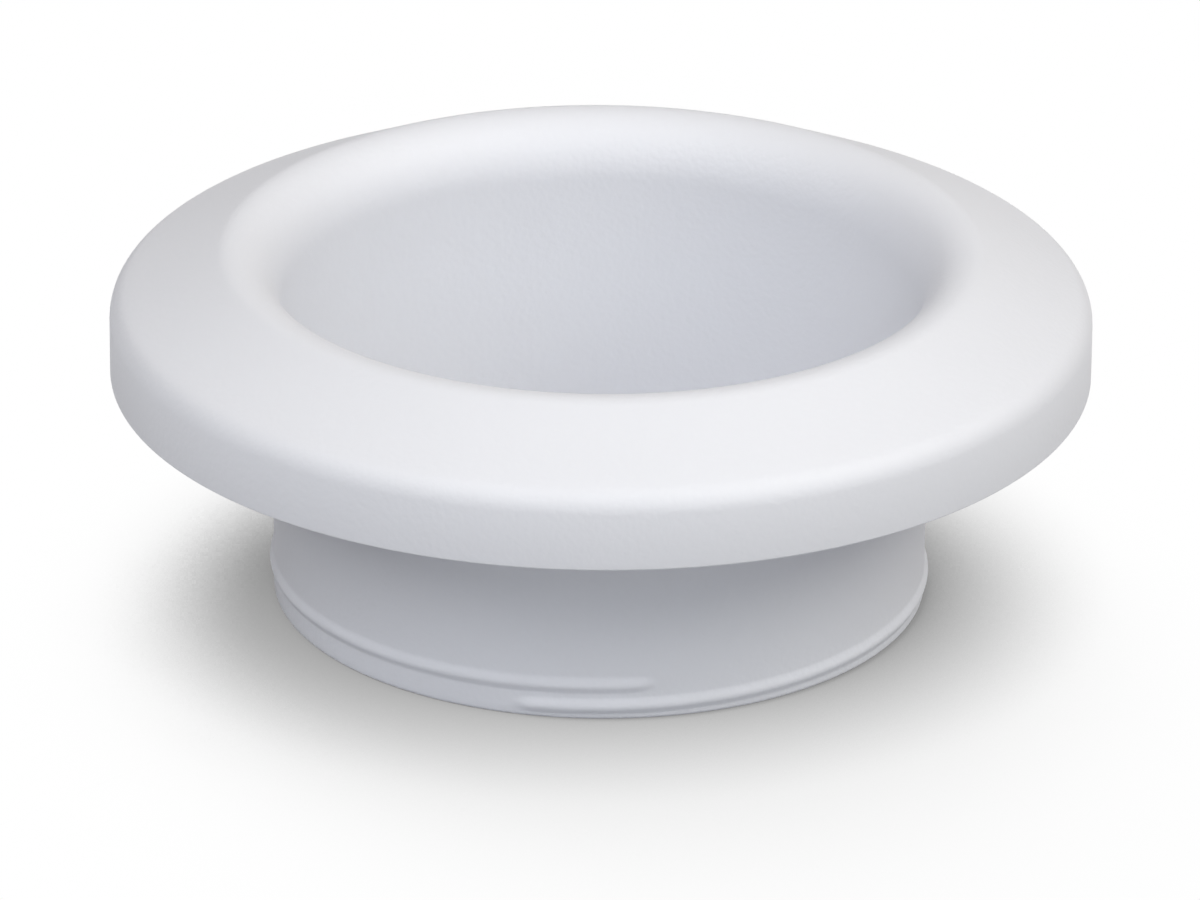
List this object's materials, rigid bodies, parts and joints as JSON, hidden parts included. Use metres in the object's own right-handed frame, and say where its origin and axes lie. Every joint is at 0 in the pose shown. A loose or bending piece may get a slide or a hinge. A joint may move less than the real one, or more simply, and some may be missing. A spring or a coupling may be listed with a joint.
{
  "type": "pipe escutcheon",
  "caption": "White coated steel cover ring for a pipe or duct through a wall: hollow flared face with a bell mouth, and a straight collar with a rolled screw bead near its foot.",
  "frame": {"origin": "on the ring's axis, in the plane of the collar's foot, on which the ring stands", "axes": "+Z along the ring's axis, from the collar's foot towards the flared face; the screw bead's overlap faces -Y"},
  "size_m": [0.148, 0.148, 0.0549],
  "materials": {
    "white_powder_coat": "white satin powder coat on steel sheet"
  },
  "bodies": {
    "root": {"escutcheon": "white_powder_coat"}
  },
  "joints": []
}
